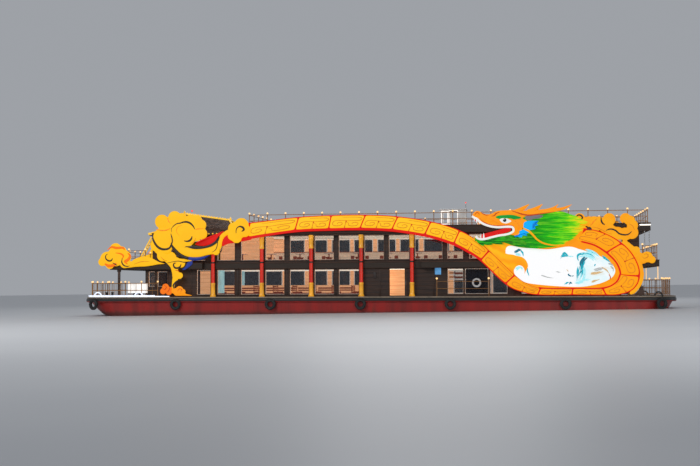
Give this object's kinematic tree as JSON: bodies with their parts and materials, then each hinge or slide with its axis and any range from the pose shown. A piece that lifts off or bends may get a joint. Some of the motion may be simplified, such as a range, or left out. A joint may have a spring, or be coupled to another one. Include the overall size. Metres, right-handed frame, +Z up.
{
  "type": "traditional-style dragon-lantern river cruise boat, 1:2 scale model",
  "caption": "Flat-bottomed two-deck cruise boat with an open sun deck and a lantern dragon among clouds along each side.",
  "frame": {"origin": "centre of the boat's length and beam, on the hull's flat bottom", "axes": "+X towards the stern, -Y to port, the side that faces the camera, +Z up"},
  "size_m": [24, 5.52, 5.05],
  "materials": {
    "hull_red": "semi-gloss red oxide paint",
    "rubber": "matt black rubber",
    "deck_paint": "worn grey-brown deck paint",
    "white_paint": "gloss white paint",
    "bronze": "cast and dull",
    "cabin_wood": "dark brown stain, satin",
    "window_glass": "clear, warm lit from inside",
    "column_red": "gloss red paint with gold capital and base",
    "railing_gold": "satin gold paint with round lamps",
    "roof_tile": "brown glazed tiles with yellow ridges",
    "lantern_yellow": "stretched lantern cloth lit from inside",
    "lantern_white": "stretched lantern cloth lit from inside",
    "lantern_green": "stretched lantern cloth lit from inside",
    "lantern_orange": "stretched lantern cloth lit from inside",
    "bench_wood": "satin varnish"
  },
  "bodies": {
    "boat": {"hull": "hull_red", "rubbing_belt": "rubber", "main_deck": "deck_paint", "bow_bulwark": "white_paint", "lower_bow_bulkhead": "cabin_wood", "lower_stern_bulkhead": "cabin_wood", "upper_bow_bulkhead": "cabin_wood", "upper_stern_bulkhead": "cabin_wood", "upper_deck": "cabin_wood", "sun_deck": "cabin_wood", "foredeck_railing": "railing_gold", "stern_railing": "railing_gold", "bow_balcony_railing": "railing_gold", "stern_balcony_railing": "railing_gold", "sun_deck_railing": "railing_gold", "pavilion_roof": "roof_tile", "stair_hood": "white_paint", "lower_wall_starboard": "cabin_wood", "upper_wall_starboard": "cabin_wood", "lower_glazing_starboard": "window_glass", "upper_glazing_starboard": "window_glass", "colonnade_starboard": "column_red", "benches_starboard": "bench_wood", "tables_starboard": "bench_wood", "dragon_body_starboard": "lantern_yellow", "dragon_head_starboard": "lantern_white", "dragon_mane_starboard": "lantern_green", "screen_starboard": "lantern_white", "field_starboard": "lantern_orange", "big_cloud_starboard": "lantern_yellow", "leg_cloud_starboard": "lantern_yellow", "bow_cloud_starboard": "lantern_yellow", "blossom_cloud_starboard": "lantern_yellow", "stern_clouds_starboard": "lantern_white", "lower_wall_port": "cabin_wood", "upper_wall_port": "cabin_wood", "lower_glazing_port": "window_glass", "upper_glazing_port": "window_glass", "colonnade_port": "column_red", "benches_port": "bench_wood", "tables_port": "bench_wood", "dragon_body_port": "lantern_yellow", "dragon_head_port": "lantern_white", "dragon_mane_port": "lantern_green", "screen_port": "lantern_white", "field_port": "lantern_orange", "big_cloud_port": "lantern_yellow", "leg_cloud_port": "lantern_yellow", "bow_cloud_port": "lantern_yellow", "blossom_cloud_port": "lantern_yellow", "stern_clouds_port": "lantern_white"},
    "propeller_port_body": {"propeller_port": "bronze"},
    "propeller_starboard_body": {"propeller_starboard": "bronze"},
    "rudder_port_body": {"rudder_port": "hull_red"},
    "rudder_starboard_body": {"rudder_starboard": "hull_red"},
    "side_door_port_body": {"side_door_port": "cabin_wood"},
    "side_door_starboard_body": {"side_door_starboard": "cabin_wood"},
    "bow_door_port_body": {"bow_door_port": "cabin_wood"},
    "bow_door_starboard_body": {"bow_door_starboard": "cabin_wood"}
  },
  "joints": [
    {"name": "propeller_port_spin", "type": "hinge", "parent": "boat", "child": "propeller_port_body", "pos_m": [10.36, -0.85, 0.3], "axis": [1, 0, 0], "continuous": true},
    {"name": "rudder_port_turn", "type": "hinge", "parent": "boat", "child": "rudder_port_body", "pos_m": [10.875, -0.85, 0.6], "axis": [0, 0, 1], "range_deg": [-35, 35]},
    {"name": "side_door_port_slide", "type": "slide", "parent": "boat", "child": "side_door_port_body", "axis": [-1, 0, 0], "range_m": [0, 0.6]},
    {"name": "bow_door_port_swing", "type": "hinge", "parent": "boat", "child": "bow_door_port_body", "pos_m": [-9.11, -0.465, 1.7], "axis": [0, 0, 1], "range_deg": [0, 100]},
    {"name": "propeller_starboard_spin", "type": "hinge", "parent": "boat", "child": "propeller_starboard_body", "pos_m": [10.36, 0.85, 0.3], "axis": [1, 0, 0], "continuous": true},
    {"name": "rudder_starboard_turn", "type": "hinge", "parent": "boat", "child": "rudder_starboard_body", "pos_m": [10.875, 0.85, 0.6], "axis": [0, 0, 1], "range_deg": [-35, 35]},
    {"name": "side_door_starboard_slide", "type": "slide", "parent": "boat", "child": "side_door_starboard_body", "axis": [-1, 0, 0], "range_m": [0, 0.6]},
    {"name": "bow_door_starboard_swing", "type": "hinge", "parent": "boat", "child": "bow_door_starboard_body", "pos_m": [-9.11, 0.465, 1.7], "axis": [0, 0, -1], "range_deg": [0, 100]}
  ],
  "couplings": [
    {"joint": "rudder_starboard_turn", "follows": "rudder_port_turn", "ratio": 1}
  ]
}
